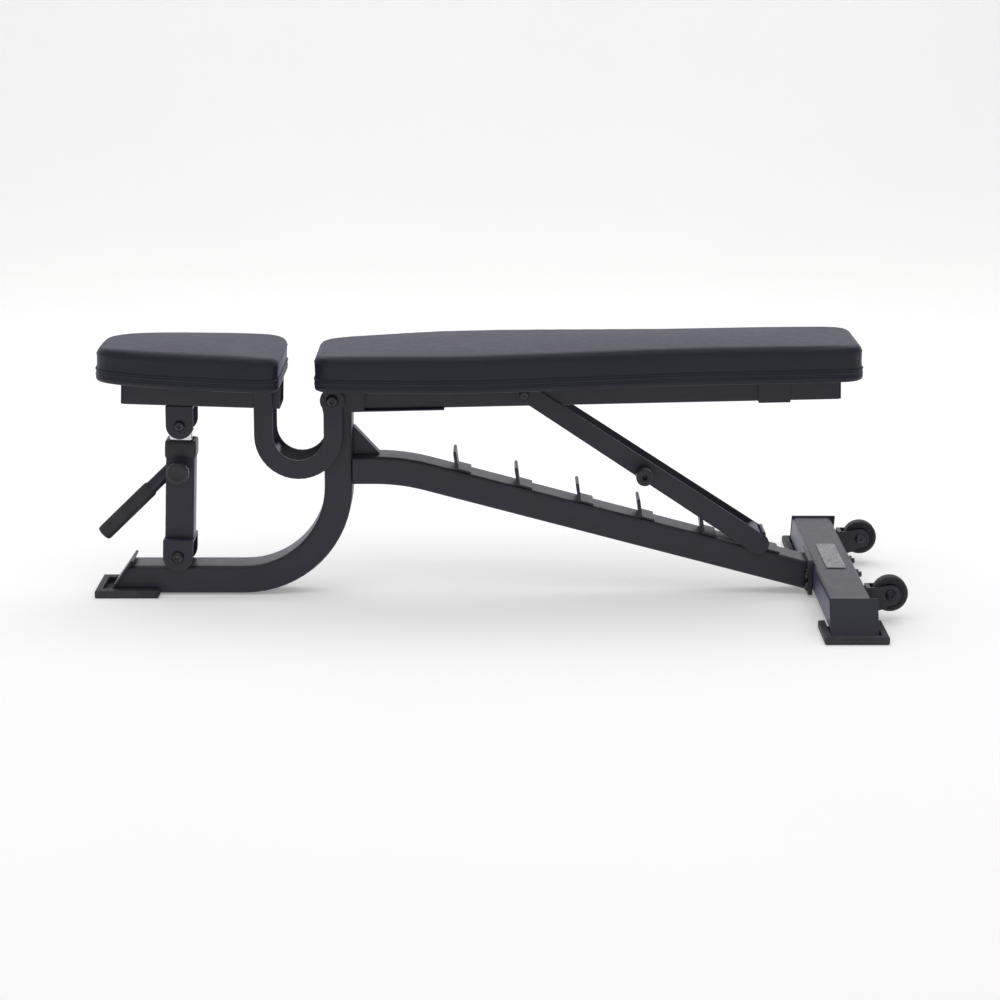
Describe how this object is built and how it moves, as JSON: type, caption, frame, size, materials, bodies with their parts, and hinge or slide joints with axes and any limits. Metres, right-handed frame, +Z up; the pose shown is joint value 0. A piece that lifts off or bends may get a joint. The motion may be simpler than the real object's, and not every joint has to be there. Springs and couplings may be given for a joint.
{
  "type": "adjustable weight bench",
  "caption": "Flat-to-incline weight bench with split pads, a ladder-and-strut backrest adjuster, a pinned telescoping seat post and transport wheels.",
  "frame": {"origin": "on the floor under the middle of the bench", "axes": "+X from the seat towards the transport wheels, +Y across the bench, +Z up"},
  "size_m": [1.3682, 0.762, 0.4442],
  "materials": {
    "frame_paint": "satin charcoal powder coat",
    "pad_vinyl": "black upholstery vinyl with a fine grain",
    "board": "plywood",
    "black_plastic": "moulded",
    "rubber": "matt",
    "tyre": "hard solid tyre",
    "fastener": "black oxide",
    "bright_tube": "bright plated",
    "name_plate": "blank brushed plate"
  },
  "bodies": {
    "root": {"beam_flange": "frame_paint", "catch_1": "frame_paint", "catch_2": "frame_paint", "catch_3": "frame_paint", "catch_4": "frame_paint", "catch_5": "frame_paint", "catch_6": "frame_paint", "cross_end_plate_far": "frame_paint", "cross_end_plate_near": "frame_paint", "crossmember": "frame_paint", "flange_bolts_far": "fastener", "flange_bolts_near": "fastener", "front_end_plate": "frame_paint", "front_foot": "rubber", "gusset": "frame_paint", "hinge_axle": "fastener", "ladder_beam": "frame_paint", "main_tube": "frame_paint", "name_plate": "name_plate", "rear_foot_far": "rubber", "rear_foot_near": "rubber", "wheel_axle_far": "fastener", "wheel_axle_near": "fastener", "wheel_fork_far": "frame_paint", "wheel_fork_near": "frame_paint"},
    "seat": {"seat_pad": "pad_vinyl", "seat_board": "board", "seat_frame": "frame_paint", "seat_frame_cap": "black_plastic", "u_plate_near": "frame_paint", "u_plate_far": "frame_paint", "u_spacer": "frame_paint", "upper_clevis": "frame_paint", "upper_clevis_bolt": "fastener"},
    "back": {"back_pad": "pad_vinyl", "back_board": "board", "back_frame": "frame_paint", "back_frame_cap": "black_plastic", "hinge_bracket": "frame_paint", "saddle_bracket": "frame_paint", "strut_bolt": "fastener"},
    "strut": {"strut_plate_near": "frame_paint", "strut_plate_far": "frame_paint", "catch_bar": "frame_paint", "lifting_pegs": "black_plastic"},
    "post_outer": {"post_tube": "frame_paint", "lower_clevis": "frame_paint", "lower_clevis_bolt": "fastener", "post_collar": "black_plastic", "handle_rod": "frame_paint", "handle_grip": "rubber"},
    "post_inner": {"post_inner_tube": "bright_tube"},
    "pin": {"pull_pin": "fastener", "pull_knob": "black_plastic"},
    "wheel_near": {"wheel_tyre_near": "tyre", "wheel_hub_near": "black_plastic"},
    "wheel_far": {"wheel_tyre_far": "tyre", "wheel_hub_far": "black_plastic"}
  },
  "joints": [
    {"name": "back_tilt", "type": "hinge", "parent": "root", "child": "back", "pos_m": [-0.275, 0, 0.341], "axis": [0, -1, 0], "range_deg": [0, 75]},
    {"name": "strut_swing", "type": "hinge", "parent": "back", "child": "strut", "pos_m": [0.05, 0, 0.3496], "axis": [0, -1, 0], "range_deg": [-105, 0]},
    {"name": "seat_tilt", "type": "hinge", "parent": "root", "child": "seat", "pos_m": [-0.275, 0, 0.341], "axis": [0, 1, 0], "range_deg": [0, 10]},
    {"name": "post_swing", "type": "hinge", "parent": "root", "child": "post_outer", "pos_m": [-0.5424, 0, 0.0683], "axis": [0, 1, 0], "range_deg": [-0.5, 0]},
    {"name": "post_slide", "type": "slide", "parent": "post_outer", "child": "post_inner", "axis": [0.0332, 0, 0.9995], "range_m": [0, 0.04577]},
    {"name": "pin_pull", "type": "slide", "parent": "post_outer", "child": "pin", "axis": [0, -1, 0], "range_m": [0, 0.01], "stiffness_N_per_m": 600},
    {"name": "wheel_near_spin", "type": "hinge", "parent": "root", "child": "wheel_near", "pos_m": [0.6544, -0.216, 0.0475], "axis": [0, 1, 0], "continuous": true},
    {"name": "wheel_far_spin", "type": "hinge", "parent": "root", "child": "wheel_far", "pos_m": [0.6544, 0.216, 0.0475], "axis": [0, 1, 0], "continuous": true}
  ],
  "couplings": [
    {"joint": "strut_swing", "follows": "back_tilt", "ratio": -1.4},
    {"joint": "post_swing", "follows": "seat_tilt", "ratio": -0.05},
    {"joint": "post_slide", "follows": "seat_tilt", "m_per_rad": 0.2622}
  ]
}
